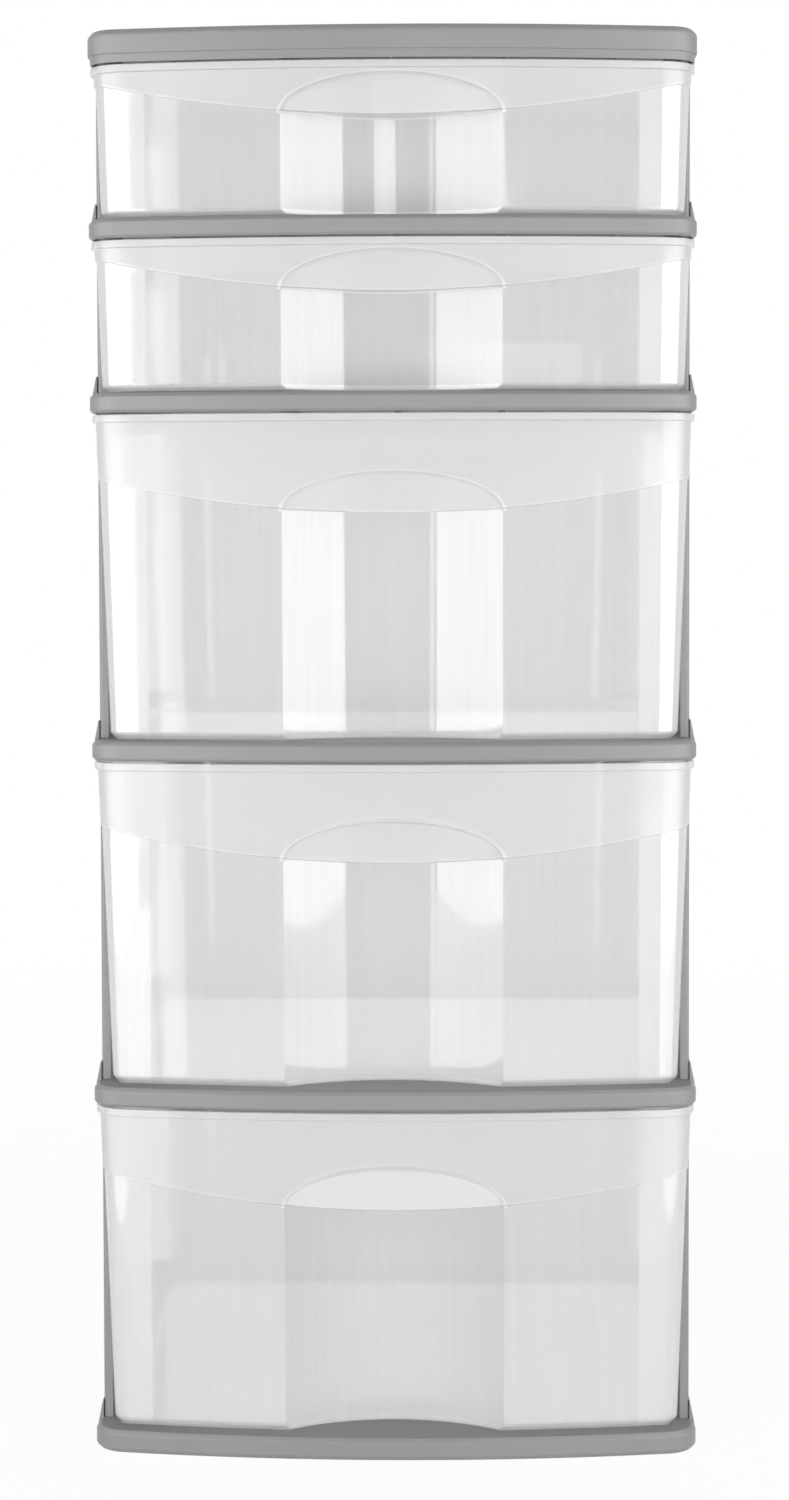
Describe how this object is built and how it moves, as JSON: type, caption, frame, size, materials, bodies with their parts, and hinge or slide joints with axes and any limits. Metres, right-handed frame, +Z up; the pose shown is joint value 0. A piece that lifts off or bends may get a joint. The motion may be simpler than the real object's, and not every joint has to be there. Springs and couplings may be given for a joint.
{
  "type": "drawer tower",
  "caption": "Free-standing plastic tower: a grey frame of stacked shelves and wall panels with clear bow-fronted drawers that slide out.",
  "frame": {"origin": "floor level, at the middle of the tower's footprint", "axes": "+X to the right seen from the front, +Y to the back, +Z up; the drawers open towards -Y"},
  "size_m": [0.32, 0.37, 0.75],
  "materials": {
    "frame_grey": "fine-textured grey moulding",
    "drawer_clear": "clear, slightly hazy moulding with a frosted band"
  },
  "bodies": {
    "frame": {"top_lid": "frame_grey", "shelf_1": "frame_grey", "shelf_2": "frame_grey", "shelf_3": "frame_grey", "shelf_4": "frame_grey", "base": "frame_grey", "left_panel_1": "frame_grey", "left_panel_2": "frame_grey", "left_panel_3": "frame_grey", "left_panel_4": "frame_grey", "left_panel_5": "frame_grey", "right_panel_1": "frame_grey", "right_panel_2": "frame_grey", "right_panel_3": "frame_grey", "right_panel_4": "frame_grey", "right_panel_5": "frame_grey", "back_panel_1": "frame_grey", "back_panel_2": "frame_grey", "back_panel_3": "frame_grey", "back_panel_4": "frame_grey", "back_panel_5": "frame_grey"},
    "drawer_1": {"drawer_1": "drawer_clear"},
    "drawer_2": {"drawer_2": "drawer_clear"},
    "drawer_3": {"drawer_3": "drawer_clear"},
    "drawer_4": {"drawer_4": "drawer_clear"},
    "drawer_5": {"drawer_5": "drawer_clear"}
  },
  "joints": [
    {"name": "drawer_1_slide", "type": "slide", "parent": "frame", "child": "drawer_1", "axis": [0, -1, 0], "range_m": [0, 0.28]},
    {"name": "drawer_2_slide", "type": "slide", "parent": "frame", "child": "drawer_2", "axis": [0, -1, 0], "range_m": [0, 0.28]},
    {"name": "drawer_3_slide", "type": "slide", "parent": "frame", "child": "drawer_3", "axis": [0, -1, 0], "range_m": [0, 0.28]},
    {"name": "drawer_4_slide", "type": "slide", "parent": "frame", "child": "drawer_4", "axis": [0, -1, 0], "range_m": [0, 0.28]},
    {"name": "drawer_5_slide", "type": "slide", "parent": "frame", "child": "drawer_5", "axis": [0, -1, 0], "range_m": [0, 0.28]}
  ]
}
